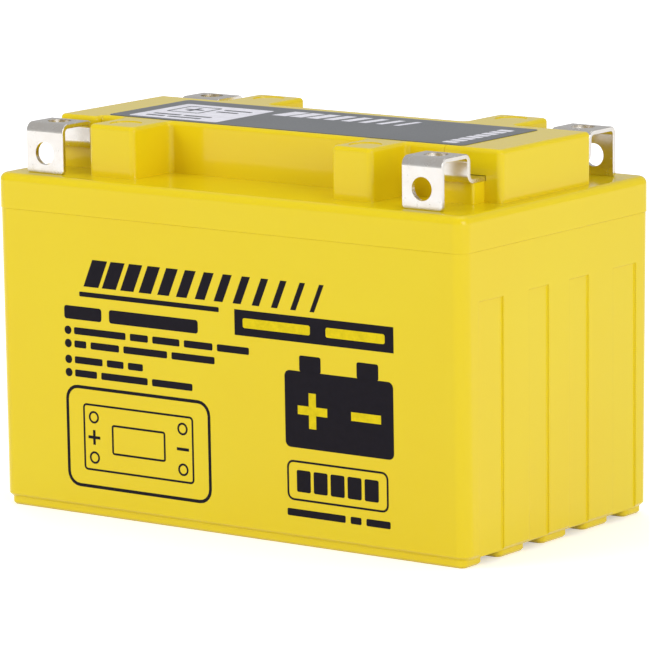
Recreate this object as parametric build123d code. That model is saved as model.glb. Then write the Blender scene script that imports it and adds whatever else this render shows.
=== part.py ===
from build123d import *
import os

os.makedirs("parts", exist_ok=True)

# Sealed six-cell motorcycle battery with four corner terminals.
# X runs along the long side, Y from front (-) to back (+), Z up.
# Origin: centre of the footprint, at the underside of the foot rails.

# ---------------------------------------------------------------- overall
LENGTH = 152.0
WIDTH = 88.8
HEIGHT = 105.0
LEFT = -LENGTH / 2
RIGHT = LENGTH / 2
FRONT = -WIDTH / 2
BACK = WIDTH / 2

# ---------------------------------------------------------------- levels, from the top down
LABEL_T = 0.2
BLOCK_H = 13.8
LID_H = 9.6
BLOCK_TOP_Z = HEIGHT - LABEL_T
FLOOR_TOP_Z = BLOCK_TOP_Z - BLOCK_H
SEAM_Z = FLOOR_TOP_Z - LID_H

# ---------------------------------------------------------------- case
LID_OVERHANG = 0.15
CORNER_R = 3.5
DRAFT_Y = 1.0
RAIL_H = 2.2
RAIL_INSET = 1.4
RAIL_W = 12.5
RAIL_PITCH = 20.0
EDGE_RAIL_W = 9.0
FOOT_CHAMFER = 0.9
END_WALL = 2.6
SIDE_WALL = 2.9
FLOOR_T = 2.4
PARTITION = 1.6
CELLS = 6

CASE_L = LENGTH - 2 * LID_OVERHANG
CASE_W = WIDTH - 2 * LID_OVERHANG
INNER_L = CASE_L - 2 * END_WALL
INNER_W = CASE_W - 2 * SIDE_WALL
CELL_L = (INNER_L - (CELLS - 1) * PARTITION) / CELLS
CELL_PITCH = CELL_L + PARTITION
CELL_X = [(i - (CELLS - 1) / 2) * CELL_PITCH for i in range(CELLS)]
CELL_FLOOR_Z = RAIL_H + FLOOR_T

MID_RIB_W = 9.8
SIDE_RIB_W = 11.9
FLUTE_MARGIN = 7.3
INNER_FLUTE_W = 9.1
INNER_FLUTE_Y = (MID_RIB_W + INNER_FLUTE_W) / 2
OUTER_FLUTE_Y0 = MID_RIB_W / 2 + INNER_FLUTE_W + SIDE_RIB_W
OUTER_FLUTE_Y1 = CASE_W / 2 - FLUTE_MARGIN
OUTER_FLUTE_Y = (OUTER_FLUTE_Y0 + OUTER_FLUTE_Y1) / 2
OUTER_FLUTE_W = OUTER_FLUTE_Y1 - OUTER_FLUTE_Y0
FLUTES = []
for s in (-1, 1):
    FLUTES += [(s * INNER_FLUTE_Y, INNER_FLUTE_W), (s * OUTER_FLUTE_Y, OUTER_FLUTE_W)]
FLUTE_DEPTH = 0.55
FLUTE_TOP_Z = SEAM_Z - 13.0
FLUTE_ROOT_R = 0.2
FLUTE_EDGE_R = 0.3

# ---------------------------------------------------------------- lid
LID_PLATE_T = 2.4
LID_EDGE_R = 2.0
PLATE_UNDER_Z = FLOOR_TOP_Z - LID_PLATE_T
BLOCK_X0 = LEFT + 5.0
BLOCK_X1 = RIGHT - 5.0
BLOCK_Y0 = FRONT + 24.9
BLOCK_Y1 = BACK - 21.6
LEFT_END_X1 = LEFT + 17.7
LEFT_END_Y0 = FRONT + 21.6
BLOCK_CORNER_R = 1.6
BLOCK_EDGE_R = 1.1
BLOCK_WALL = 2.2
BLOCK_FLOOR_T = 1.0
BLOCK_FLOOR_Z = FLOOR_TOP_Z - BLOCK_FLOOR_T
EAR_FRONT_Y = FRONT + 9.0
EAR_BACK_Y = BACK - 4.7
FRONT_EARS = [(LEFT + 25.0, LEFT + 40.3), (RIGHT - 47.3, RIGHT - 34.5)]
BACK_EARS = [(LEFT + 26.4, LEFT + 42.0), (RIGHT - 45.1, RIGHT - 29.4)]
EAR_MARK_R = 4.4
EAR_MARK_DEPTH = 0.2
EAR_MARK_BACK = 6.6

# ---------------------------------------------------------------- terminals and posts
TERMINALS = {
    "front_left": (LEFT + 13.1, -1),
    "front_right": (RIGHT - 16.1, -1),
    "back_left": (LEFT + 15.8, 1),
    "back_right": (RIGHT - 13.3, 1),
}
STRIP_W = 12.4
STRIP_T = 1.3
STRIP_BEND_R = 1.75
STRIP_EDGE_R = 0.22
STRIP_CORNER_R = 0.9
TERMINAL_TOP_Z = HEIGHT - 0.5
TERMINAL_DEPTH = 13.0
FRONT_PLATE_Y = FRONT + 5.2
BACK_PLATE_Y = BACK - 6.5
BOLT_R = 3.1
BOLT_Z = FLOOR_TOP_Z + 5.4
STEP_Z = FLOOR_TOP_Z + 5.5
STEP_W = STRIP_W - 0.8
STEP_GAP = 0.3
STEP_EDGE_R = 0.7
SLOT_CLEAR = 0.1
POST_R = 3.5
POST_CLEAR = 0.05
COLLAR_R = POST_R + 2.0
COLLAR_T = 1.6
SEAL_R = POST_R + 1.8
SEAL_T = 2.0
BAR_T = 3.0
BAR_HALF_L = 6.4
BAR_END = 5.0

# ---------------------------------------------------------------- vents, valves and their cover
VENT_Y = (BLOCK_Y0 + BLOCK_Y1) / 2
NECK_R = 3.0
NECK_BORE_R = 1.5
NECK_TOP_Z = FLOOR_TOP_Z + 6.0
CAP_WALL = 1.1
CAP_CLEAR = 0.05
CAP_SKIRT_Z = FLOOR_TOP_Z + 1.0
CAP_TOP_T = 1.6
CAP_LIFT = 0.6
CAP_R = NECK_R + CAP_CLEAR + CAP_WALL
CAP_TOP_Z = NECK_TOP_Z + CAP_TOP_T
END_VENT_X = CELL_X[-1] - CELL_L / 2 + NECK_BORE_R + 0.5
VENT_PITCH = END_VENT_X / ((CELLS - 1) / 2)
VENT_X = [(i - (CELLS - 1) / 2) * VENT_PITCH for i in range(CELLS)]
STOP_RIB_Z = CAP_TOP_Z + CAP_LIFT + 0.2
STOP_RIB_W = 3.0
CHAMBER_X = min(abs(x) for x, _ in TERMINALS.values()) - STRIP_W / 2 - 4.7
END_CHAMBER_HALF_Y = CAP_R + 1.0
END_CHAMBER_X = END_VENT_X + CAP_R + 0.4
ARRESTOR_R = 4.0
ARRESTOR_T = 2.0
ARRESTOR_X = 20.0
ARRESTOR_Z = FLOOR_TOP_Z + 6.2
EXHAUST_R = 0.8

COVER_T = 2.3
COVER_GAP = 0.12
COVER_LAP = 1.5
COVER_X0 = min(LEFT_END_X1, -END_CHAMBER_X - COVER_LAP)
COVER_X1 = RIGHT - 22.6
TONGUE_X1 = END_CHAMBER_X + COVER_LAP
TONGUE_HALF_Y = END_CHAMBER_HALF_Y + COVER_LAP
COVER_Z = BLOCK_TOP_Z - COVER_T
LABEL_X0 = LEFT + 18.1
LABEL_X1 = RIGHT - 18.0
LABEL_Y0 = BLOCK_Y0 + 1.5
LABEL_Y1 = BLOCK_Y1 - 5.0

# The strip's foot and its post reach into the block, short of the end chamber.
FOOT_REACH = min(9.5, VENT_Y - BLOCK_Y0 - END_CHAMBER_HALF_Y - 1.0)
POST_BACK = FOOT_REACH - 3.5

# ---------------------------------------------------------------- plate groups
POS_T = 2.2
NEG_T = 1.8
POS_PLATES = 3
NEG_PLATES = POS_PLATES + 1
STACK_L = CELL_L - 1.6
MAT_T = (STACK_L - POS_PLATES * POS_T - NEG_PLATES * NEG_T) / (2 * POS_PLATES)
MAT_W = INNER_W - 1.6
MAT_BASE = 2.0
PLATE_W = MAT_W - 2.4
PLATE_Z0 = CELL_FLOOR_Z + MAT_BASE
STRAP_Z0 = SEAM_Z - 5.8
STRAP_T = 4.0
STRAP_Z1 = STRAP_Z0 + STRAP_T
STRAP_Y = PLATE_W / 2 - 18.0
STRAP_W = 8.0
PLATE_Z1 = STRAP_Z0 - 4.6
MAT_Z1 = PLATE_Z1 + 1.5
LUG_W = 7.0
WINDOW_W = 6.0
WINDOW_H = 3.0


def box(x0, x1, y0, y1, z0, z1):
    centre = Pos((x0 + x1) / 2, (y0 + y1) / 2, (z0 + z1) / 2)
    return centre * Box(x1 - x0, y1 - y0, z1 - z0)


def post(x, y, r, z0, z1):
    return Pos(x, y, (z0 + z1) / 2) * Cylinder(r, z1 - z0)


def plate_y(side):
    return FRONT_PLATE_Y if side < 0 else BACK_PLATE_Y


def block_y(side):
    return BLOCK_Y0 if side < 0 else BLOCK_Y1


def post_y(side):
    return block_y(side) - side * POST_BACK


def window_side(i):
    return -1 if i % 2 == 0 else 1


def cell_box(i, z0, z1):
    x = CELL_X[i]
    cell = box(x - CELL_L / 2, x + CELL_L / 2, -INNER_W / 2, INNER_W / 2, z0, z1)
    return fillet(cell.edges().filter_by(Axis.Z), 1.2)


def is_flute_edge(edge):
    c = edge.center()
    on_end = abs(abs(c.X) - CASE_L / 2) < 0.01
    inside_y = abs(c.Y) < OUTER_FLUTE_Y1 + 1
    return on_end and inside_y and RAIL_H + 2 < c.Z < FLUTE_TOP_Z + 0.01


def make_case():
    bottom = RectangleRounded(CASE_L, CASE_W - 2 * DRAFT_Y, CORNER_R)
    top = RectangleRounded(CASE_L, CASE_W, CORNER_R)
    body = loft([Plane.XY.offset(RAIL_H) * bottom, Plane.XY.offset(SEAM_Z) * top])
    body = chamfer(body.faces().sort_by(Axis.Z)[0].edges(), FOOT_CHAMFER)
    rail_x = CASE_L / 2 - RAIL_INSET
    edge_y = CASE_W / 2 - DRAFT_Y - FOOT_CHAMFER
    spans = [(-edge_y, -edge_y + EDGE_RAIL_W), (edge_y - EDGE_RAIL_W, edge_y)]
    for k in (-1, 0, 1):
        spans.append((k * RAIL_PITCH - RAIL_W / 2, k * RAIL_PITCH + RAIL_W / 2))
    for y0, y1 in spans:
        rail = box(-rail_x, rail_x, y0, y1, 0, RAIL_H + 1.0)
        rail = fillet(rail.edges().filter_by(Axis.Z), 2.0)
        rail = chamfer(rail.faces().sort_by(Axis.Z)[0].edges(), 0.6)
        body += rail
    for y, width in FLUTES:
        for s in (-1, 1):
            x0 = s * (CASE_L / 2 - FLUTE_DEPTH)
            x1 = s * (CASE_L / 2 + 1)
            flute = box(min(x0, x1), max(x0, x1), y - width / 2, y + width / 2, -1, FLUTE_TOP_Z)
            inner = flute.faces().sort_by(Axis.X)[0 if s > 0 else -1]
            flute = fillet(inner.edges().filter_by(Axis.Z), FLUTE_ROOT_R)
            body -= flute
    body = fillet([e for e in body.edges() if is_flute_edge(e)], FLUTE_EDGE_R)
    for i in range(CELLS):
        body -= cell_box(i, CELL_FLOOR_Z, SEAM_Z + 1)
    for i in range(CELLS - 1):
        x = (CELL_X[i] + CELL_X[i + 1]) / 2
        y = window_side(i) * STRAP_Y
        z = STRAP_Z0 + STRAP_T / 2
        half = WINDOW_W / 2
        body -= box(x - PARTITION, x + PARTITION, y - half, y + half, z - WINDOW_H / 2, z + WINDOW_H / 2)
    return body


def block_solid():
    plan = Pos((BLOCK_X0 + BLOCK_X1) / 2, VENT_Y) * Rectangle(BLOCK_X1 - BLOCK_X0, BLOCK_Y1 - BLOCK_Y0)
    left_end = Rectangle(LEFT_END_X1 - BLOCK_X0, -LEFT_END_Y0)
    plan += Pos((BLOCK_X0 + LEFT_END_X1) / 2, LEFT_END_Y0 / 2) * left_end
    for x0, x1 in FRONT_EARS:
        plan += Pos((x0 + x1) / 2, EAR_FRONT_Y / 2) * Rectangle(x1 - x0, -EAR_FRONT_Y)
    for x0, x1 in BACK_EARS:
        plan += Pos((x0 + x1) / 2, EAR_BACK_Y / 2) * Rectangle(x1 - x0, EAR_BACK_Y)
    plan = fillet(plan.vertices(), BLOCK_CORNER_R)
    solid = extrude(Plane.XY.offset(BLOCK_FLOOR_Z) * plan, BLOCK_TOP_Z - BLOCK_FLOOR_Z)
    solid = fillet(solid.faces().sort_by(Axis.Z)[-1].edges(), BLOCK_EDGE_R)
    for y, ears in ((EAR_FRONT_Y + EAR_MARK_BACK, FRONT_EARS), (EAR_BACK_Y - EAR_MARK_BACK, BACK_EARS)):
        for x0, x1 in ears:
            solid -= post((x0 + x1) / 2, y, EAR_MARK_R, BLOCK_TOP_Z - EAR_MARK_DEPTH, BLOCK_TOP_Z + 1)
    return solid


def chamber(z0, z1):
    room = box(-CHAMBER_X, CHAMBER_X, BLOCK_Y0 + BLOCK_WALL, BLOCK_Y1 - BLOCK_WALL, z0, z1)
    y0 = VENT_Y - END_CHAMBER_HALF_Y
    y1 = VENT_Y + END_CHAMBER_HALF_Y
    room += box(-END_CHAMBER_X, END_CHAMBER_X, y0, y1, z0, z1)
    for x0, x1 in FRONT_EARS:
        ear_x0 = max(x0 + BLOCK_WALL, -CHAMBER_X)
        room += box(ear_x0, x1 - BLOCK_WALL, EAR_FRONT_Y + BLOCK_WALL, 0, z0, z1)
    for x0, x1 in BACK_EARS:
        ear_x0 = max(x0 + BLOCK_WALL, -CHAMBER_X)
        room += box(ear_x0, x1 - BLOCK_WALL, 0, EAR_BACK_Y - BLOCK_WALL, z0, z1)
    return room


def foot_slot(x, side):
    z0 = STEP_Z
    z1 = STEP_Z + STRIP_T + SLOT_CLEAR
    half = STRIP_W / 2 + SLOT_CLEAR
    inner = block_y(side) - side * (FOOT_REACH + SLOT_CLEAR)
    outer = block_y(side) + side * 10
    return box(x - half, x + half, min(inner, outer), max(inner, outer), z0, z1)


def cover_space():
    space = box(COVER_X0, COVER_X1, -WIDTH, WIDTH, COVER_Z, HEIGHT + 1)
    y0 = VENT_Y - TONGUE_HALF_Y
    y1 = VENT_Y + TONGUE_HALF_Y
    return space + box(COVER_X1 - 1, TONGUE_X1, y0, y1, COVER_Z, HEIGHT + 1)


def make_lid(solid):
    plan = RectangleRounded(LENGTH, WIDTH, CORNER_R)
    lid = extrude(Plane.XY.offset(SEAM_Z) * plan, FLOOR_TOP_Z - SEAM_Z)
    lid = fillet(lid.faces().sort_by(Axis.Z)[-1].edges(), LID_EDGE_R)
    lid = chamfer(lid.faces().sort_by(Axis.Z)[0].edges(), 0.2)
    for i in range(CELLS):
        lid -= cell_box(i, SEAM_Z - 1, PLATE_UNDER_Z)
    lid -= solid
    for x in VENT_X:
        lid -= post(x, VENT_Y, NECK_BORE_R, PLATE_UNDER_Z - 1, FLOOR_TOP_Z + 1)
    for x, side in TERMINALS.values():
        lid -= post(x, post_y(side), POST_R + POST_CLEAR, PLATE_UNDER_Z - 1, FLOOR_TOP_Z + 1)
    return lid


def make_vent_block(solid):
    block = solid - cover_space()
    for x, side in TERMINALS.values():
        leg_y = plate_y(side) - side * TERMINAL_DEPTH
        step_y = leg_y - side * (STRIP_T + STEP_GAP)
        y0 = min(step_y, block_y(side) - side)
        y1 = max(step_y, block_y(side) - side)
        step = box(x - STEP_W / 2, x + STEP_W / 2, y0, y1, FLOOR_TOP_Z, STEP_Z)
        front = step.faces().sort_by(Axis.Y)[0 if side < 0 else -1]
        block += fillet(front.edges().filter_by(Axis.Z), STEP_EDGE_R)
    block -= chamber(FLOOR_TOP_Z, COVER_Z + 1)
    for x in VENT_X:
        neck = post(x, VENT_Y, NECK_R, FLOOR_TOP_Z - 0.5, NECK_TOP_Z)
        block += chamfer(neck.faces().sort_by(Axis.Z)[-1].edges(), 0.3)
        block -= post(x, VENT_Y, NECK_BORE_R, BLOCK_FLOOR_Z - 1, NECK_TOP_Z + 1)
    for x, side in TERMINALS.values():
        block -= post(x, post_y(side), POST_R + POST_CLEAR, BLOCK_FLOOR_Z - 1, STEP_Z + 0.2)
        block -= foot_slot(x, side)
    wall_y = BLOCK_Y1 - BLOCK_WALL
    for x in (-ARRESTOR_X, ARRESTOR_X):
        turn = Rot(90, 0, 0)
        boss = turn * Cylinder(ARRESTOR_R + 1.0, ARRESTOR_T + 0.4)
        block += Pos(x, wall_y - ARRESTOR_T / 2 + 0.2, ARRESTOR_Z) * boss
        seat = Pos(x, wall_y - ARRESTOR_T / 2 - 1, ARRESTOR_Z) * turn * Cylinder(ARRESTOR_R, ARRESTOR_T + 2)
        block -= seat
        block -= Pos(x, BLOCK_Y1, ARRESTOR_Z) * turn * Cylinder(EXHAUST_R, 2 * BLOCK_WALL + 1)
    return block


def make_cover(solid):
    cover = solid & box(COVER_X0 + COVER_GAP, COVER_X1 - COVER_GAP, -WIDTH, WIDTH, COVER_Z, HEIGHT + 1)
    half = TONGUE_HALF_Y - COVER_GAP
    cover += box(COVER_X1 - 1, TONGUE_X1 - COVER_GAP, VENT_Y - half, VENT_Y + half, COVER_Z, BLOCK_TOP_Z)
    rib_x = END_CHAMBER_X - 0.4
    cover += box(-rib_x, rib_x, VENT_Y - STOP_RIB_W / 2, VENT_Y + STOP_RIB_W / 2, STOP_RIB_Z, COVER_Z + 0.5)
    return cover


def make_terminal(x, side):
    t = STRIP_T / 2
    y_out = plate_y(side) - side * t
    y_leg = plate_y(side) - side * (TERMINAL_DEPTH - t)
    y_foot = block_y(side) - side * FOOT_REACH
    z_top = TERMINAL_TOP_Z - t
    z_foot = STEP_Z + t
    points = [(x, y_out, FLOOR_TOP_Z), (x, y_out, z_top), (x, y_leg, z_top)]
    points += [(x, y_leg, z_foot), (x, y_foot, z_foot)]
    path = FilletPolyline(*points, radius=STRIP_BEND_R)
    section = Plane(origin=path @ 0, x_dir=(1, 0, 0), z_dir=path % 0) * Rectangle(STRIP_W, STRIP_T)
    strip = sweep(section, path=path)
    strip = fillet(strip.edges().filter_by(Axis.Y).group_by(Axis.Z)[0], STRIP_CORNER_R)
    strip = fillet(strip.edges(), STRIP_EDGE_R)
    hole = Pos(x, plate_y(side), BOLT_Z) * Rot(90, 0, 0) * Cylinder(BOLT_R, 6)
    strip -= hole
    y_mid = plate_y(side) - side * TERMINAL_DEPTH / 2
    strip -= post(x, y_mid, BOLT_R, TERMINAL_TOP_Z - 3, TERMINAL_TOP_Z + 1)
    return strip


def make_post(x, side):
    y = post_y(side)
    bar_top = STRAP_Z1 + BAR_T
    pin = post(x, y, POST_R, bar_top, STEP_Z)
    collar_z1 = PLATE_UNDER_Z - SEAL_T
    return pin + post(x, y, COLLAR_R, collar_z1 - COLLAR_T, collar_z1)


def make_seal(x, side):
    y = post_y(side)
    ring = post(x, y, SEAL_R, PLATE_UNDER_Z - SEAL_T, PLATE_UNDER_Z)
    return ring - post(x, y, POST_R + POST_CLEAR, PLATE_UNDER_Z - SEAL_T - 1, PLATE_UNDER_Z + 1)


def make_bar(x_front, x_back):
    x = (x_front + x_back) / 2
    y0 = post_y(-1) - BAR_END
    y1 = STRAP_Y + STRAP_W / 2
    bar = box(x - BAR_HALF_L, x + BAR_HALF_L, y0, y1, STRAP_Z1, STRAP_Z1 + BAR_T)
    return fillet(bar.edges().filter_by(Axis.Z), 2.0)


def make_cap(x):
    cap = post(x, VENT_Y, CAP_R, CAP_SKIRT_Z, CAP_TOP_Z)
    cap = fillet(cap.faces().sort_by(Axis.Z)[-1].edges(), 0.5)
    return cap - post(x, VENT_Y, NECK_R + CAP_CLEAR, CAP_SKIRT_Z - 1, NECK_TOP_Z)


def make_arrestor(x):
    y = BLOCK_Y1 - BLOCK_WALL - ARRESTOR_T / 2
    return Pos(x, y, ARRESTOR_Z) * Rot(90, 0, 0) * Cylinder(ARRESTOR_R, ARRESTOR_T)


def plate_spans(i):
    spans = []
    x = CELL_X[i] - STACK_L / 2
    for k in range(POS_PLATES + NEG_PLATES):
        negative = k % 2 == 0
        t = NEG_T if negative else POS_T
        spans.append((negative, x, x + t))
        x += t + MAT_T
    return spans


def make_group(i, negative):
    side = window_side(i) if negative else -window_side(i)
    y0 = side * STRAP_Y - STRAP_W / 2
    y1 = side * STRAP_Y + STRAP_W / 2
    spans = [(a, b) for neg, a, b in plate_spans(i) if neg == negative]
    last = CELLS - 1
    to_right = negative and i < last
    to_left = not negative and i > 0
    cell_x0 = CELL_X[i] - CELL_L / 2
    cell_x1 = CELL_X[i] + CELL_L / 2
    strap_x0 = cell_x0 if to_left else spans[0][0]
    strap_x1 = cell_x1 if to_right else spans[-1][1]
    group = box(strap_x0, strap_x1, y0, y1, STRAP_Z0, STRAP_Z1)
    for a, b in spans:
        group += box(a, b, -PLATE_W / 2, PLATE_W / 2, PLATE_Z0, PLATE_Z1)
        group += box(a, b, side * STRAP_Y - LUG_W / 2, side * STRAP_Y + LUG_W / 2, PLATE_Z1 - 1, STRAP_Z0 + 1)
    stub = Box(PARTITION / 2 + 1, WINDOW_W, WINDOW_H)
    y = side * STRAP_Y
    z = STRAP_Z0 + STRAP_T / 2
    if to_right:
        group += Pos(cell_x1 - 0.5 + PARTITION / 4, y, z) * stub
    if to_left:
        group += Pos(cell_x0 + 0.5 - PARTITION / 4, y, z) * stub
    return group


def make_mat(i):
    x = CELL_X[i]
    mat = box(x - STACK_L / 2, x + STACK_L / 2, -MAT_W / 2, MAT_W / 2, CELL_FLOOR_Z, MAT_Z1)
    for _, a, b in plate_spans(i):
        mat -= box(a, b, -PLATE_W / 2, PLATE_W / 2, PLATE_Z0, MAT_Z1 + 1)
    return mat


def make_label():
    x = (LABEL_X0 + LABEL_X1) / 2
    y = (LABEL_Y0 + LABEL_Y1) / 2
    face = Pos(x, y, BLOCK_TOP_Z) * RectangleRounded(LABEL_X1 - LABEL_X0, LABEL_Y1 - LABEL_Y0, 1.5)
    return extrude(face, LABEL_T)


parts = {}
parts["case"] = make_case()
top_block = block_solid()
parts["lid"] = make_lid(top_block)
parts["vent_block"] = make_vent_block(top_block)
parts["vent_cover"] = make_cover(top_block)
parts["top_label"] = make_label()
for name, (x, side) in TERMINALS.items():
    parts[name + "_terminal"] = make_terminal(x, side)
    parts[name + "_post"] = make_post(x, side)
    parts[name + "_post_seal"] = make_seal(x, side)
parts["positive_bus_bar"] = make_bar(TERMINALS["front_left"][0], TERMINALS["back_left"][0])
parts["negative_bus_bar"] = make_bar(TERMINALS["front_right"][0], TERMINALS["back_right"][0])
for i in range(CELLS):
    n = str(i + 1)
    parts["valve_cap_" + n] = make_cap(VENT_X[i])
    parts["positive_group_" + n] = make_group(i, False)
    parts["negative_group_" + n] = make_group(i, True)
    parts["separator_mat_" + n] = make_mat(i)
parts["flame_arrestor_left"] = make_arrestor(-ARRESTOR_X)
parts["flame_arrestor_right"] = make_arrestor(ARRESTOR_X)

for name, shape in parts.items():
    export_step(shape, "parts/" + name + ".step")
print(len(parts), "parts")
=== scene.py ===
import math

import bpy
from bpy.props import FloatProperty, FloatVectorProperty, PointerProperty
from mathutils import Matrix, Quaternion, Vector


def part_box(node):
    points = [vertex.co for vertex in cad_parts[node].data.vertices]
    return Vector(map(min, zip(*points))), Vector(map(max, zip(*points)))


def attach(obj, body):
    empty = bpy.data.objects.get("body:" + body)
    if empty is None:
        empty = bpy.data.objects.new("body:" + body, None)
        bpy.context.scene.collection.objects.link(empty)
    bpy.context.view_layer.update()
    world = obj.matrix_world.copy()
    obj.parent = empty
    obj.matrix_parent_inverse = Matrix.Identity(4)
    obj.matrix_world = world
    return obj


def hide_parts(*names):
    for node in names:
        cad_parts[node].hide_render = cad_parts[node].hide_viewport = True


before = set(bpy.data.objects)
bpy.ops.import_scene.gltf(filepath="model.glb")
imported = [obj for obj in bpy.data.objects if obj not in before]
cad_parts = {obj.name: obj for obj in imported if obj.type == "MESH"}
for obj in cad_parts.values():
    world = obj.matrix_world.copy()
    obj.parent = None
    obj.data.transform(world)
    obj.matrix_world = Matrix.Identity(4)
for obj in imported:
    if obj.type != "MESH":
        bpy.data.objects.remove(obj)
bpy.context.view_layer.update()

bl_info = {
    "name": "Motorcycle Battery",
    "version": (1, 0, 0),
    "blender": (4, 5, 0),
    "location": "3D View > Sidebar > Battery",
    "description": "Finishes, printing and studio for a sealed motorcycle battery",
    "category": "Object",
}

MM = 0.001
CASE_LOW, CASE_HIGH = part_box("case")
LABEL_LOW, LABEL_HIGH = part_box("top_label")
SHELL = ("case", "lid", "vent_block", "vent_cover")
CORNERS = ("front_left", "front_right", "back_left", "back_right")
CELLS = range(1, 7)

# The case's front leans in towards its foot by WALL_LEAN over its height.
WALL_FOOT_Z = 2.2 * MM
WALL_LEAN = 1.0 * MM

CORNER_SEGMENTS = 5
DISC_SIDES = 28
WORD_CORNER = 0.22  # corner radius of a bar of small print, as a share of its height

# Drawings are in millimetres: x from the left edge of the face they go on, z from its lower or front edge.
# Front heading
HEADING_BARS = dict(x=29.3, z0=62.5, z1=69.9, count=13, pitch=6.2, first=5.0, last=1.4, slant=3.2)
HEADING_RULE = dict(x0=27.8, x1=74.3, z0=59.7, z1=61.0, radius=0.3)
BAND = dict(x0=79.4, x1=130.0, z0=54.2, z1=61.0)
BAND_WORDS = dict(x0=82.1, z=57.6, height=2.6, widths=(21.6, 18.6), gap=5.0)

# Front lines: a title, rows with a round bullet each, and a line under the gauge
TITLE_WORDS = dict(x0=22.5, z=55.1, height=3.6, widths=(12.6, 29.6), gap=2.6)
BULLET_X = 23.6
BULLET_R = 1.15
ROW_X = 25.7
ROW_HEIGHT = 1.9
ROW_GAP = 1.5
ROWS = (
    (50.2, (17.4, 6.0, 9.0, 9.4, 10.4)),
    (46.6, (4.0, 9.6, 14.6, 14.2)),
    (42.3, (9.4, 5.6, 5.0)),
    (38.7, (7.4, 15.6, 13.4)),
)
FOOT_WORDS = dict(x0=95.5, z=9.0, height=1.9, widths=(18.6, 3.4, 7.6), gap=1.6)

# Front panels: a plan of the terminals, a battery symbol and a charge gauge
PLAN_BORDER = dict(x0=22.4, x1=70.8, z0=7.8, z1=35.5, radius=4.0)
PLAN_BORDER_LINE = 1.6  # times the line of the other frames
PLAN_CASE = dict(x0=28.1, x1=65.1, z0=12.6, z1=30.8, radius=1.2)
PLAN_BLOCK = dict(x0=37.7, x1=55.7, z0=17.6, z1=25.8, radius=0.8)
PLAN_TERMINAL_Z = (16.2, 27.2)
PLAN_TERMINAL = dict(radius=1.7, hole=1.15)
PLAN_SIGN = dict(z=21.7, size=4.0, line=0.8)
PLAN_PLUS_X = 31.7
PLAN_MINUS_X = 61.5
SYMBOL_BODY = dict(x0=95.3, x1=129.7, z0=26.3, z1=46.6, radius=1.6)
SYMBOL_POLE = dict(z0=46.5, z1=50.8, radius=0.6)
SYMBOL_POLE_X = (100.1, 118.3)
SYMBOL_POLE_W = 6.8
SYMBOL_SIGN = dict(z=36.4, size=9.4, line=2.3)
SYMBOL_PLUS_X = 104.1
SYMBOL_MINUS_X = 121.1
GAUGE_FRAME = dict(x0=95.6, x1=127.8, z0=12.2, z1=22.9, radius=2.0)
GAUGE_STEP = dict(z0=14.6, z1=20.4, radius=0.5)
GAUGE_STEP_X = [98.7 + 5.4 * step for step in range(5)]
GAUGE_STEP_W = 4.4

# Top label
LABEL_CORNER_R = 1.5
LABEL_PANEL = dict(x0=5.3, x1=34.8, z0=2.1, z1=28.8, radius=0.8)
LABEL_BARS = dict(x=38.5, z0=22.2, z1=31.0, count=8, pitch=5.7, first=4.6, last=1.8, slant=1.6)
LABEL_TICK = dict(x0=107.5, x1=111.8, radius=0.4)
LABEL_TICK_Z = [2.6 + 3.6 * tick for tick in range(8)]
LABEL_TICK_W = 2.6
LABEL_PLAN = dict(x0=8.9, x1=19.9, z0=14.0, z1=25.4, radius=0.8, line=0.7)
LABEL_SIGN = dict(x=14.4, z=19.7, size=6.0, line=1.2)
LABEL_WORD_H = 1.4
LABEL_ROWS = (
    (22.2, 23.0, (9.0,)),
    (22.2, 19.4, (7.0,)),
    (8.9, 9.0, (9.0, 9.0)),
    (8.9, 5.6, (6.0, 11.0)),
)
LABEL_ROW_GAP = 1.2

INK_GLOSS = 0.4
LABEL_INK_GLOSS = 0.3
LEAD_COLOUR = (0.20, 0.21, 0.23)
PASTE_COLOUR = (0.075, 0.04, 0.026)

FLOOR_SIZE = 6
FLOOR_GLOW = 0.40
LAMP_AIM = (0, 0, 0.05)
LAMPS = (  # name, place, size, the setting that holds its power, and whether glossy surfaces show it
    ("key_lamp", (-0.75, -1.1, 0.75), (0.9, 0.7), "key_power", False),
    ("side_lamp", (1.25, -0.35, 0.5), (0.7, 0.8), "side_power", True),
    ("top_lamp", (0.1, 0.25, 1.2), (1.0, 0.8), "top_power", True),
    ("back_lamp", (-0.9, 0.9, 0.6), (0.9, 0.7), "back_power", False),
)
CAMERA_PLACE = (0.7819, -1.0762, 0.2817)
CAMERA_VIEW = (-0.5787, 0.7973, -0.1716)
CAMERA_ROLL = math.radians(-0.54)
CAMERA_SENSOR = 36


# ------------------------------------------------------------------ shader nodes


class Value:
    """A number socket that takes part in arithmetic by adding Math nodes."""

    def __init__(self, look, socket):
        self.look = look
        self.socket = socket

    def _calc(self, operation, first, second):
        return self.look.node("ShaderNodeMath", {"operation": operation}, {0: first, 1: second})

    def __add__(self, other):
        return self._calc("ADD", self, other)

    def __rsub__(self, other):
        return self._calc("SUBTRACT", other, self)

    def __mul__(self, other):
        return self._calc("MULTIPLY", self, other)

    __radd__ = __add__
    __rmul__ = __mul__


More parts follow.
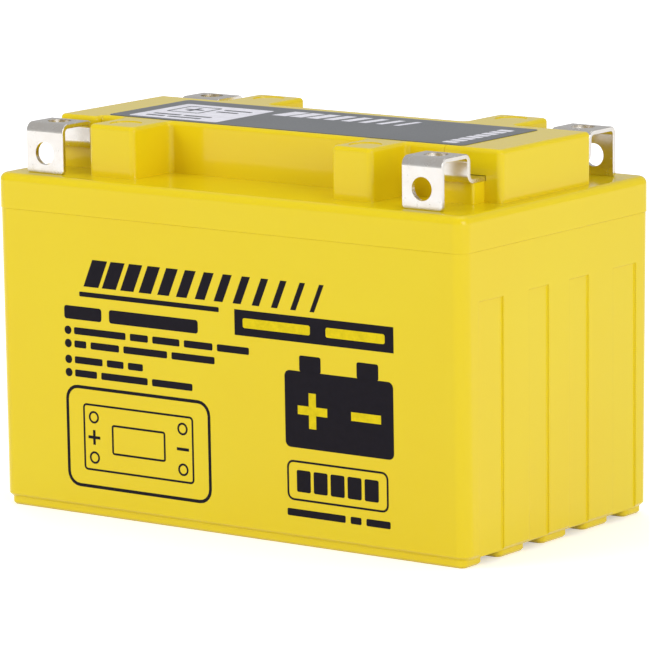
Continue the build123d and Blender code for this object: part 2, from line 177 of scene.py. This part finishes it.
class Look:
    """One procedural material: its node tree, its surface shader and its object-space coordinates."""

    def __init__(self, name, **constants):
        self.material = bpy.data.materials.new(name)
        self.material.use_nodes = True
        self.tree = self.material.node_tree
        self.surface = self.tree.nodes["Principled BSDF"]
        for socket, value in constants.items():
            self.surface.inputs[socket.replace("_", " ")].default_value = value
        self.place = self.node("ShaderNodeTexCoord", out="Object")

    def node(self, kind, settings=None, inputs=None, out=0):
        made = self.tree.nodes.new(kind)
        for key, value in (settings or {}).items():
            setattr(made, key, value)
        for key, value in (inputs or {}).items():
            self.feed(made.inputs[key], value)
        return Value(self, made.outputs[out])

    def feed(self, socket, value):
        if isinstance(value, Value):
            self.tree.links.new(value.socket, socket)
        else:
            socket.default_value = value

    def ramp(self, value, low, high, dark=0.0, bright=1.0):
        """The value stretched so that low becomes dark and high becomes bright."""
        inputs = {0: value, 1: low, 2: high, 3: dark, 4: bright}
        return self.node("ShaderNodeMapRange", {"clamp": True}, inputs)

    def noise(self, size, detail=2.0, roughness=0.5, stretch=(1, 1, 1)):
        """Noise whose lumps are about this many metres across, stretched along the given axes."""
        mapping = {"Vector": self.place, "Scale": stretch}
        where = self.node("ShaderNodeMapping", {"vector_type": "TEXTURE"}, mapping)
        inputs = {"Vector": where, "Scale": 1 / size, "Detail": detail, "Roughness": roughness}
        return self.node("ShaderNodeTexNoise", None, inputs)

    def mix(self, factor, first, second):
        """A blend of two colours."""
        inputs = {0: factor, 6: first, 7: second}
        return self.node("ShaderNodeMix", {"data_type": "RGBA"}, inputs, out=2)

    def bump(self, height, depth, strength=1.0):
        inputs = {"Height": height, "Distance": depth, "Strength": strength}
        normal = self.node("ShaderNodeBump", None, inputs)
        self.feed(self.surface.inputs["Normal"], normal)

    def set(self, **sockets):
        for socket, value in sockets.items():
            self.feed(self.surface.inputs[socket.replace("_", " ")], value)


def rgba(colour, gain=1.0):
    return (colour[0] * gain, colour[1] * gain, colour[2] * gain, 1.0)


def give(obj, material):
    """Puts one material on every slot of an object."""
    obj.data.materials.clear()
    obj.data.materials.append(material)


def finish_nodes(names, material):
    for name in names:
        give(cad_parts[name], material)


# ------------------------------------------------------------------ mesh helpers


def deselect():
    if bpy.context.mode != "OBJECT":
        bpy.ops.object.mode_set(mode="OBJECT")
    bpy.ops.object.select_all(action="DESELECT")


def apply_place(obj):
    """Moves an object's place, turn and size into its mesh."""
    deselect()
    obj.select_set(True)
    bpy.context.view_layer.objects.active = obj
    bpy.ops.object.transform_apply(location=True, rotation=True, scale=True)


def upright_face(x0, x1, z0, z1, radius=0.0, slant=0.0):
    """A flat face that looks to the front, its top moved sideways by slant and its corners rounded."""
    deselect()
    centre = ((x0 + x1) / 2, 0, (z0 + z1) / 2)
    bpy.ops.mesh.primitive_plane_add(size=1, location=centre, rotation=(math.pi / 2, 0, 0))
    obj = bpy.context.object
    obj.scale = (x1 - x0, z1 - z0, 1)
    apply_place(obj)
    bpy.ops.object.mode_set(mode="EDIT")
    if slant:
        bpy.ops.mesh.select_all(action="DESELECT")
        bpy.ops.object.mode_set(mode="OBJECT")
        for vertex in obj.data.vertices:
            vertex.select = vertex.co.z > centre[2]
        bpy.ops.object.mode_set(mode="EDIT")
        bpy.ops.transform.translate(value=(slant, 0, 0))
    bpy.ops.mesh.select_all(action="SELECT")
    if radius:
        bpy.ops.mesh.bevel(affect="VERTICES", offset=radius, segments=CORNER_SEGMENTS)
    bpy.ops.object.mode_set(mode="OBJECT")
    return obj


def upright_frame(x0, x1, z0, z1, radius, line):
    """A rounded rectangular outline with the given line width."""
    obj = upright_face(x0, x1, z0, z1, radius)
    bpy.ops.object.mode_set(mode="EDIT")
    bpy.ops.mesh.select_all(action="SELECT")
    bpy.ops.mesh.inset(thickness=line)
    bpy.ops.mesh.delete(type="FACE")
    bpy.ops.object.mode_set(mode="OBJECT")
    return obj


def upright_disc(x, z, radius, hole=0.0):
    """A round dot, or a ring when it has a hole."""
    deselect()
    bpy.ops.mesh.primitive_circle_add(
        vertices=DISC_SIDES, radius=radius, fill_type="NGON",
        location=(x, 0, z), rotation=(math.pi / 2, 0, 0),
    )
    obj = bpy.context.object
    apply_place(obj)
    if hole:
        bpy.ops.object.mode_set(mode="EDIT")
        bpy.ops.mesh.select_all(action="SELECT")
        bpy.ops.mesh.inset(thickness=radius - hole)
        bpy.ops.mesh.delete(type="FACE")
        bpy.ops.object.mode_set(mode="OBJECT")
    return obj


def words(x0, z, height, widths, gap):
    """A row of plain bars that stands for a line of small print."""
    bars = []
    for width in widths:
        bars.append(upright_face(x0, x0 + width, z - height / 2, z + height / 2, height * WORD_CORNER))
        x0 += width + gap
    return bars


def sign(x, z, size, line, plus):
    """A minus sign, or a plus sign."""
    bars = [upright_face(x - size / 2, x + size / 2, z - line / 2, z + line / 2)]
    if plus:
        bars.append(upright_face(x - line / 2, x + line / 2, z + line / 2, z + size / 2))
        bars.append(upright_face(x - line / 2, x + line / 2, z - size / 2, z - line / 2))
    return bars


def join(parts, name):
    deselect()
    for part in parts:
        part.select_set(True)
    bpy.context.view_layer.objects.active = parts[0]
    if len(parts) > 1:
        bpy.ops.object.join()
    joined = bpy.context.view_layer.objects.active
    joined.name = name
    joined.data.name = name
    return joined


def thicken(obj, depth):
    """Gives flat faces a thickness on the side they face."""
    shell = obj.modifiers.new("thickness", "SOLIDIFY")
    shell.thickness = depth
    shell.offset = 1.0
    deselect()
    obj.select_set(True)
    bpy.context.view_layer.objects.active = obj
    bpy.ops.object.modifier_apply(modifier=shell.name)


def slanted_bars(x, z0, z1, count, pitch, first, last, slant):
    """Leaning bars side by side, whose width goes evenly from the first bar's to the last one's."""
    bars = []
    for i in range(count):
        width = first + (last - first) * i / (count - 1)
        bars.append(upright_face(x + i * pitch, x + i * pitch + width, z0, z1, slant=slant))
    return bars


def lay_on_front(obj, lift):
    """Sets a drawing on the case's front wall, leaning as the wall does, and proud of it by lift."""
    apply_place(obj)
    bpy.ops.object.mode_set(mode="EDIT")
    bpy.ops.mesh.select_all(action="SELECT")
    wall_y = CASE_LOW.y + WALL_LEAN - lift
    bpy.ops.transform.resize(value=(MM, MM, MM), center_override=(0, 0, 0))
    bpy.ops.transform.translate(value=(CASE_LOW.x, wall_y, 0))
    lean = math.atan2(WALL_LEAN, CASE_HIGH.z - WALL_FOOT_Z)
    bpy.ops.transform.rotate(value=-lean, orient_axis="X", center_override=(0, wall_y, WALL_FOOT_Z))
    bpy.ops.object.mode_set(mode="OBJECT")


def lay_on_top(obj, lift):
    """Lays a drawing flat from the label's left front corner, at lift above the label's underside."""
    apply_place(obj)
    bpy.ops.object.mode_set(mode="EDIT")
    bpy.ops.mesh.select_all(action="SELECT")
    bpy.ops.transform.resize(value=(MM, MM, MM), center_override=(0, 0, 0))
    bpy.ops.transform.rotate(value=math.pi / 2, orient_axis="X", center_override=(0, 0, 0))
    bpy.ops.transform.translate(value=(LABEL_LOW.x, LABEL_LOW.y, LABEL_LOW.z + lift))
    bpy.ops.object.mode_set(mode="OBJECT")


def print_piece(parts, name, material, depth, lift=0.0, lay=lay_on_front):
    """Joins a drawing's faces into one printed piece, lays it on its wall and gives it its ink."""
    piece = join(parts, name)
    lay(piece, lift)
    thicken(piece, depth)
    give(piece, material)
    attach(piece, "battery")
    return piece


# ------------------------------------------------------------------ settings


class BatteryFinish(bpy.types.PropertyGroup):
    """Colours and surface values of the battery's finishes."""

    case_colour: FloatVectorProperty(
        name="Case Colour", description="Colour of the moulded case and lid", subtype="COLOR", size=3,
        default=(0.80, 0.622, 0.009), min=0, max=1,
    )
    case_roughness: FloatProperty(
        name="Case Roughness", description="Surface roughness of the moulded plastic",
        default=0.09, min=0, max=1,
    )
    metal_colour: FloatVectorProperty(
        name="Plating Colour", description="Colour of the plated terminal strips", subtype="COLOR", size=3,
        default=(0.80, 0.775, 0.74), min=0, max=1,
    )
    ink_colour: FloatVectorProperty(
        name="Ink Colour", description="Colour of the dark printing", subtype="COLOR", size=3,
        default=(0.009, 0.007, 0.012), min=0, max=1,
    )
    label_colour: FloatVectorProperty(
        name="Label Colour", description="Colour of the film on the vent cover", subtype="COLOR", size=3,
        default=(0.068, 0.076, 0.09), min=0, max=1,
    )
    label_ink: FloatVectorProperty(
        name="Label Ink", description="Colour of the pale printing on the film", subtype="COLOR", size=3,
        default=(0.86, 0.85, 0.93), min=0, max=1,
    )


class BatteryPrint(bpy.types.PropertyGroup):
    """Sizes of the printing on the case and the label."""

    ink_depth: FloatProperty(
        name="Ink Thickness", description="Thickness of the printed ink", default=0.05 * MM, unit="LENGTH",
        precision=5,
    )
    line_width: FloatProperty(
        name="Frame Line", description="Width of the line round the printed panels", default=0.55 * MM,
        unit="LENGTH", precision=5,
    )
    film_depth: FloatProperty(
        name="Label Film Thickness", description="Thickness of the film on the vent cover", default=0.14 * MM,
        unit="LENGTH", precision=5,
    )


class BatteryStage(bpy.types.PropertyGroup):
    """Studio lamps and camera."""

    lens: FloatProperty(
        name="Lens", description="Focal length of the camera", default=278.9, unit="CAMERA",
    )
    key_power: FloatProperty(
        name="Key Light", description="Power of the large lamp at the front left", default=8.8, unit="POWER",
    )
    side_power: FloatProperty(
        name="Side Light", description="Power of the lamp at the right", default=7.6, unit="POWER",
    )
    top_power: FloatProperty(
        name="Top Light", description="Power of the lamp overhead", default=2.5, unit="POWER",
    )
    back_power: FloatProperty(
        name="Back Light", description="Power of the lamp behind the object", default=4.5, unit="POWER",
    )
    surround: FloatProperty(
        name="Surround", description="Brightness of the room round the object", default=0.5, min=0, max=2,
    )


# ------------------------------------------------------------------ finishes


def moulded_plastic(colour, roughness):
    """Glossy moulded plastic: slow colour drift, faint flow waves, rubbed spots and fine orange peel."""
    look = Look("moulded_yellow_plastic", Specular_IOR_Level=0.32)
    drift = look.noise(0.045, 3, 0.55)
    flow = look.noise(0.02, 2, 0.5, (1, 1, 3))
    deeper = (colour[0], colour[1] * 0.93, colour[2] * 0.8)
    wear = look.ramp(look.noise(0.006, 5, 0.7), 0.55, 0.75)
    look.set(
        Base_Color=look.mix(look.ramp(drift, 0.3, 0.7) * 0.5, rgba(colour), rgba(deeper)),
        Roughness=roughness + 0.05 * flow + 0.06 * wear,
    )
    peel = look.noise(0.0011, 3, 0.6)
    look.bump(flow + peel * 0.06, 0.00012, 0.5)
    return look.material


def plated_metal(colour):
    """Bright plated strip with fine rolling lines, faint clouding and small rubbed marks."""
    look = Look("bright_plated_strip", Metallic=1.0)
    cloud = look.noise(0.004, 4, 0.6)
    lines = look.noise(0.0009, 3, 0.6, (14, 1, 1))
    rubs = look.ramp(look.noise(0.0022, 6, 0.75), 0.58, 0.72)
    warm = (colour[0] * 0.96, colour[1] * 0.93, colour[2] * 0.9)
    look.set(
        Base_Color=look.mix(look.ramp(cloud, 0.35, 0.75), rgba(colour), rgba(warm)),
        Roughness=0.22 + 0.06 * lines + 0.08 * rubs,
    )
    look.bump(lines * 0.7 + rubs * 0.4, 0.00002, 0.4)
    return look.material


def printed_ink(name, colour, gloss):
    """Screen ink: almost even, with a slight mottle in its colour and its sheen."""
    look = Look(name, Specular_IOR_Level=0.1)
    mottle = look.noise(0.0016, 4, 0.65)
    look.set(
        Base_Color=look.mix(look.ramp(mottle, 0.35, 0.7), rgba(colour), rgba(colour, 0.82)),
        Roughness=gloss + 0.12 * mottle,
    )
    look.bump(mottle, 0.00001, 0.4)
    return look.material


def label_film(colour):
    """Satin printed film with a fine grain and slow clouds in its colour and its coat."""
    look = Look("satin_label_film", Coat_Roughness=0.2)
    grain = look.noise(0.0006, 2, 0.5)
    cloud = look.noise(0.02, 3, 0.5)
    look.set(
        Base_Color=look.mix(look.ramp(cloud, 0.3, 0.7), rgba(colour), rgba(colour, 1.18)),
        Roughness=0.26 + 0.1 * grain,
        Coat_Weight=0.05 + 0.1 * cloud,
    )
    look.bump(cloud + grain * 0.05, 0.00006, 0.3)
    return look.material


def dull_lead(name, colour):
    """Cast lead or pasted plate: grey clouds with a rough, slightly pitted skin."""
    look = Look(name)
    cloud = look.noise(0.008, 5, 0.65)
    pits = look.ramp(look.noise(0.0012, 4, 0.7), 0.4, 0.62)
    look.set(
        Base_Color=look.mix(look.ramp(cloud, 0.35, 0.7), rgba(colour), rgba(colour, 1.6)),
        Roughness=0.5 + 0.2 * cloud,
        Metallic=0.75 - 0.2 * pits,
    )
    look.bump(pits, 0.00015, 0.6)
    return look.material


def soft_rubber():
    """Matt black rubber with a fine bloom."""
    look = Look("matt_black_rubber")
    bloom = look.noise(0.002, 5, 0.7)
    look.set(
        Base_Color=look.mix(look.ramp(bloom, 0.45, 0.75), (0.014, 0.014, 0.015, 1), (0.045, 0.045, 0.045, 1)),
        Roughness=0.55 + 0.2 * bloom,
    )
    look.bump(bloom, 0.00005, 0.4)
    return look.material


def glass_mat():
    """White fibre mat: fine tangled fibres and uneven soaking."""
    look = Look("white_glass_mat")
    fibre = look.noise(0.0007, 6, 0.8, (6, 1, 2))
    damp = look.ramp(look.noise(0.015, 3, 0.6), 0.35, 0.7)
    look.set(
        Base_Color=look.mix(damp, (0.78, 0.78, 0.75, 1), (0.62, 0.62, 0.59, 1)),
        Roughness=0.75 + 0.15 * fibre,
    )
    look.bump(fibre, 0.0002, 0.8)
    return look.material


def porous_disc():
    """Sintered off-white disc with open pores."""
    look = Look("porous_white_disc")
    pores = look.ramp(look.noise(0.0004, 4, 0.7), 0.42, 0.6)
    look.set(
        Base_Color=look.mix(pores, (0.35, 0.34, 0.32, 1), (0.8, 0.79, 0.75, 1)),
        Roughness=0.7 + 0.15 * pores,
    )
    look.bump(pores, 0.0001, 0.8)
    return look.material


# ------------------------------------------------------------------ operators


class BATTERY_OT_case(bpy.types.Operator):
    """Finish the case, lid, vent block and vent cover in glossy moulded plastic"""

    bl_idname = "battery.case"
    bl_label = "Case and Lid"

    def execute(self, context):
        finish = context.scene.battery_finish
        finish_nodes(SHELL, moulded_plastic(finish.case_colour, finish.case_roughness))
        return {"FINISHED"}


class BATTERY_OT_terminals(bpy.types.Operator):
    """Finish the four folded terminal strips in bright plating"""

    bl_idname = "battery.terminals"
    bl_label = "Terminals"

    def execute(self, context):
        terminals = [corner + "_terminal" for corner in CORNERS]
        finish_nodes(terminals, plated_metal(context.scene.battery_finish.metal_colour))
        return {"FINISHED"}


class BATTERY_OT_cells(bpy.types.Operator):
    """Finish the plate groups, mats, posts, seals, valve caps and flame arrestors"""

    bl_idname = "battery.cells"
    bl_label = "Cells and Valves"

    def execute(self, context):
        lead = dull_lead("dull_cast_lead", LEAD_COLOUR)
        paste = dull_lead("brown_pasted_plate", PASTE_COLOUR)
        mat = glass_mat()
        rubber = soft_rubber()
        finish_nodes(("positive_bus_bar", "negative_bus_bar"), lead)
        for corner in CORNERS:
            finish_nodes((corner + "_post",), lead)
            finish_nodes((corner + "_post_seal",), rubber)
        for cell in CELLS:
            finish_nodes(("negative_group_%d" % cell,), lead)
            finish_nodes(("positive_group_%d" % cell,), paste)
            finish_nodes(("separator_mat_%d" % cell,), mat)
            finish_nodes(("valve_cap_%d" % cell,), rubber)
        finish_nodes(("flame_arrestor_left", "flame_arrestor_right"), porous_disc())
        return {"FINISHED"}


class BATTERY_OT_front_heading(bpy.types.Operator):
    """Print the leaning bars, their rule and the solid band on the front of the case"""

    bl_idname = "battery.front_heading"
    bl_label = "Front Heading"

    def execute(self, context):
        finish = context.scene.battery_finish
        depth = context.scene.battery_print.ink_depth
        black = printed_ink("black_heading_ink", finish.ink_colour, INK_GLOSS)
        yellow = printed_ink("yellow_heading_ink", finish.case_colour, INK_GLOSS)
        stripes = slanted_bars(**HEADING_BARS) + [upright_face(**HEADING_RULE)]
        print_piece(stripes, "front_stripe_print", black, depth)
        print_piece([upright_face(**BAND)], "front_band_print", black, depth)
        print_piece(words(**BAND_WORDS), "front_band_bars", yellow, depth / 2, depth)
        return {"FINISHED"}


class BATTERY_OT_front_lines(bpy.types.Operator):
    """Print rows of plain bars where small print would be"""

    bl_idname = "battery.front_lines"
    bl_label = "Front Lines"

    def execute(self, context):
        depth = context.scene.battery_print.ink_depth
        black = printed_ink("black_line_ink", context.scene.battery_finish.ink_colour, INK_GLOSS)
        lines = words(**TITLE_WORDS)
        for z, widths in ROWS:
            lines.append(upright_disc(BULLET_X, z, BULLET_R))
            lines += words(ROW_X, z, ROW_HEIGHT, widths, ROW_GAP)
        lines += words(**FOOT_WORDS)
        print_piece(lines, "front_line_print", black, depth)
        return {"FINISHED"}


class BATTERY_OT_front_panels(bpy.types.Operator):
    """Print the framed plan of the terminals, the battery symbol and the framed charge gauge"""

    bl_idname = "battery.front_panels"
    bl_label = "Front Panels"

    def execute(self, context):
        finish = context.scene.battery_finish
        sizes = context.scene.battery_print
        depth = sizes.ink_depth
        line = sizes.line_width / MM
        black = printed_ink("black_panel_ink", finish.ink_colour, INK_GLOSS)
        yellow = printed_ink("yellow_panel_ink", finish.case_colour, INK_GLOSS)

        plan = [upright_frame(line=PLAN_BORDER_LINE * line, **PLAN_BORDER)]
        plan += [upright_frame(line=line, **PLAN_CASE), upright_frame(line=line, **PLAN_BLOCK)]
        for x, plus in ((PLAN_PLUS_X, True), (PLAN_MINUS_X, False)):
            plan += [upright_disc(x, z, **PLAN_TERMINAL) for z in PLAN_TERMINAL_Z]
            plan += sign(x, plus=plus, **PLAN_SIGN)
        print_piece(plan, "front_plan_print", black, depth)

        symbol = [upright_face(**SYMBOL_BODY)]
        symbol += [upright_face(x, x + SYMBOL_POLE_W, **SYMBOL_POLE) for x in SYMBOL_POLE_X]
        print_piece(symbol, "front_symbol_print", black, depth)
        signs = sign(SYMBOL_PLUS_X, plus=True, **SYMBOL_SIGN)
        signs += sign(SYMBOL_MINUS_X, plus=False, **SYMBOL_SIGN)
        print_piece(signs, "front_symbol_signs", yellow, depth / 2, depth)

        gauge = [upright_frame(line=line, **GAUGE_FRAME)]
        gauge += [upright_face(x, x + GAUGE_STEP_W, **GAUGE_STEP) for x in GAUGE_STEP_X]
        print_piece(gauge, "front_gauge_print", black, depth)
        return {"FINISHED"}


class BATTERY_OT_top_label(bpy.types.Operator):
    """Lay the film over the vent cover and print plain panels and bars on it"""

    bl_idname = "battery.top_label"
    bl_label = "Top Label"

    def execute(self, context):
        finish = context.scene.battery_finish
        film_depth = context.scene.battery_print.film_depth
        depth = context.scene.battery_print.ink_depth / 2
        pale = printed_ink("pale_label_ink", finish.label_ink, LABEL_INK_GLOSS)
        dark = printed_ink("grey_label_ink", finish.label_colour, LABEL_INK_GLOSS)
        width = (LABEL_HIGH.x - LABEL_LOW.x) / MM
        reach = (LABEL_HIGH.y - LABEL_LOW.y) / MM

        outline = [upright_face(0, width, 0, reach, LABEL_CORNER_R)]
        satin = label_film(finish.label_colour)
        film = print_piece(outline, "top_label_film", satin, film_depth, 0.0, lay_on_top)
        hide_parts("top_label")

        panel = [upright_face(**LABEL_PANEL)] + slanted_bars(**LABEL_BARS)
        panel += [upright_face(z0=z, z1=z + LABEL_TICK_W, **LABEL_TICK) for z in LABEL_TICK_Z]
        print_piece(panel, "label_pale_print", pale, depth, film_depth, lay_on_top)

        marks = [upright_frame(**LABEL_PLAN)] + sign(plus=True, **LABEL_SIGN)
        for x, z, widths in LABEL_ROWS:
            marks += words(x, z, LABEL_WORD_H, widths, LABEL_ROW_GAP)
        print_piece(marks, "label_dark_print", dark, depth, film_depth + depth, lay_on_top)
        return {"FINISHED"}


class BATTERY_OT_stage(bpy.types.Operator):
    """Set the floor, the soft studio lamps and the camera"""

    bl_idname = "battery.stage"
    bl_label = "Studio"

    def lamp(self, name, place, size, power, shines):
        data = bpy.data.lights.new(name, "AREA")
        data.shape = "RECTANGLE"
        data.size, data.size_y = size
        data.energy = power
        lamp = bpy.data.objects.new(name, data)
        bpy.context.scene.collection.objects.link(lamp)
        lamp.location = place
        lamp.rotation_euler = (Vector(LAMP_AIM) - Vector(place)).to_track_quat("-Z", "Y").to_euler()
        lamp.visible_glossy = shines

    def execute(self, context):
        stage = context.scene.battery_stage
        deselect()
        bpy.ops.mesh.primitive_plane_add(size=FLOOR_SIZE, location=(0, 0, 0))
        floor = context.object
        floor.name = "studio_floor"
        give(floor, self.floor_look())
        self.world_look(stage.surround)
        for name, place, size, power, shines in LAMPS:
            self.lamp(name, place, size, getattr(stage, power), shines)
        self.camera(stage.lens)
        context.scene.view_settings.view_transform = "Standard"
        return {"FINISHED"}

    def floor_look(self):
        """A pale matt floor that shows white to the camera, to glossy surfaces and through clear ones."""
        look = Look("pale_studio_floor", Roughness=0.9)
        mottle = look.noise(0.3, 2, 0.5)
        look.set(Base_Color=look.mix(mottle, (0.86, 0.86, 0.86, 1), (0.9, 0.9, 0.9, 1)))
        seen = look.node("ShaderNodeLightPath", out="Is Camera Ray")
        for ray in ("Is Glossy Ray", "Is Transmission Ray"):
            path = look.node("ShaderNodeLightPath", out=ray)
            seen = look.node("ShaderNodeMath", {"operation": "MAXIMUM"}, {0: seen, 1: path})
        white = {"Color": (1, 1, 1, 1), "Strength": FLOOR_GLOW * seen}
        glow = look.node("ShaderNodeEmission", None, white)
        lit = Value(look, look.surface.outputs[0])
        both = look.node("ShaderNodeAddShader", None, {0: lit, 1: glow})
        look.feed(look.tree.nodes["Material Output"].inputs["Surface"], both)
        return look.material

    def world_look(self, surround):
        world = bpy.data.worlds.new("studio_room")
        world.use_nodes = True
        bpy.context.scene.world = world
        background = world.node_tree.nodes["Background"]
        background.inputs["Color"].default_value = (1, 1, 1, 1)
        background.inputs["Strength"].default_value = surround

    def camera(self, lens):
        data = bpy.data.cameras.new("studio_camera")
        data.lens = lens
        data.sensor_width = CAMERA_SENSOR
        camera = bpy.data.objects.new("studio_camera", data)
        bpy.context.scene.collection.objects.link(camera)
        camera.location = CAMERA_PLACE
        aim = Vector(CAMERA_VIEW).to_track_quat("-Z", "Y")
        camera.rotation_mode = "QUATERNION"
        camera.rotation_quaternion = aim @ Quaternion((0, 0, 1), CAMERA_ROLL)
        bpy.context.scene.camera = camera


class BATTERY_PT_panel(bpy.types.Panel):
    """Lists the battery's settings and its pieces"""

    bl_idname = "BATTERY_PT_panel"
    bl_label = "Battery"
    bl_space_type = "VIEW_3D"
    bl_region_type = "UI"
    bl_category = "Battery"

    def draw(self, context):
        layout = self.layout
        for group in ("battery_finish", "battery_print", "battery_stage"):
            settings = getattr(context.scene, group)
            box = layout.box()
            for name in settings.__annotations__:
                box.prop(settings, name)
        for operator in OPERATORS:
            layout.operator(operator.bl_idname)


OPERATORS = (
    BATTERY_OT_case,
    BATTERY_OT_terminals,
    BATTERY_OT_cells,
    BATTERY_OT_front_heading,
    BATTERY_OT_front_lines,
    BATTERY_OT_front_panels,
    BATTERY_OT_top_label,
    BATTERY_OT_stage,
)
CLASSES = (BatteryFinish, BatteryPrint, BatteryStage, BATTERY_PT_panel) + OPERATORS


def register():
    for cls in CLASSES:
        bpy.utils.register_class(cls)
    bpy.types.Scene.battery_finish = PointerProperty(type=BatteryFinish)
    bpy.types.Scene.battery_print = PointerProperty(type=BatteryPrint)
    bpy.types.Scene.battery_stage = PointerProperty(type=BatteryStage)


def unregister():
    del bpy.types.Scene.battery_stage
    del bpy.types.Scene.battery_print
    del bpy.types.Scene.battery_finish
    for cls in reversed(CLASSES):
        bpy.utils.unregister_class(cls)


def main():
    register()
    for operator in OPERATORS:
        group, name = operator.bl_idname.split(".")
        getattr(getattr(bpy.ops, group), name)()
    bpy.context.view_layer.update()


if __name__ == "__main__":
    main()
